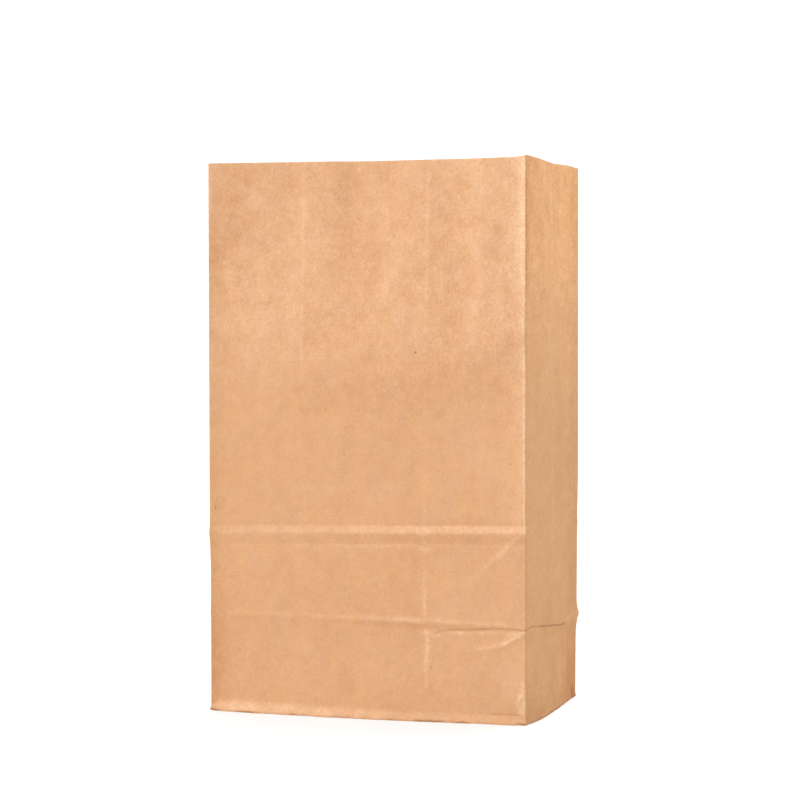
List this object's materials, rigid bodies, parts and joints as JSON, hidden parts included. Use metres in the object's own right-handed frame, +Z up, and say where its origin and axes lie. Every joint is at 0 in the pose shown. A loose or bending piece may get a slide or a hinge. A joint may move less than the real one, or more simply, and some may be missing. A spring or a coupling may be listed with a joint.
{
  "type": "paper bread bag",
  "caption": "Open block-bottom kraft paper bread bag with gusseted sides, standing empty and ready to hold a loaf.",
  "frame": {"origin": "middle of the base, on the ground the bag stands on", "axes": "+Z up to the open mouth, +X to the right along the wide front panel, which faces -Y"},
  "size_m": [0.1839, 0.113, 0.3004],
  "materials": {
    "kraft_paper": "uncoated smooth kraft paper, light warm brown, with fine fibres and worn pale creases"
  },
  "bodies": {
    "root": {"bag": "kraft_paper"}
  },
  "joints": []
}
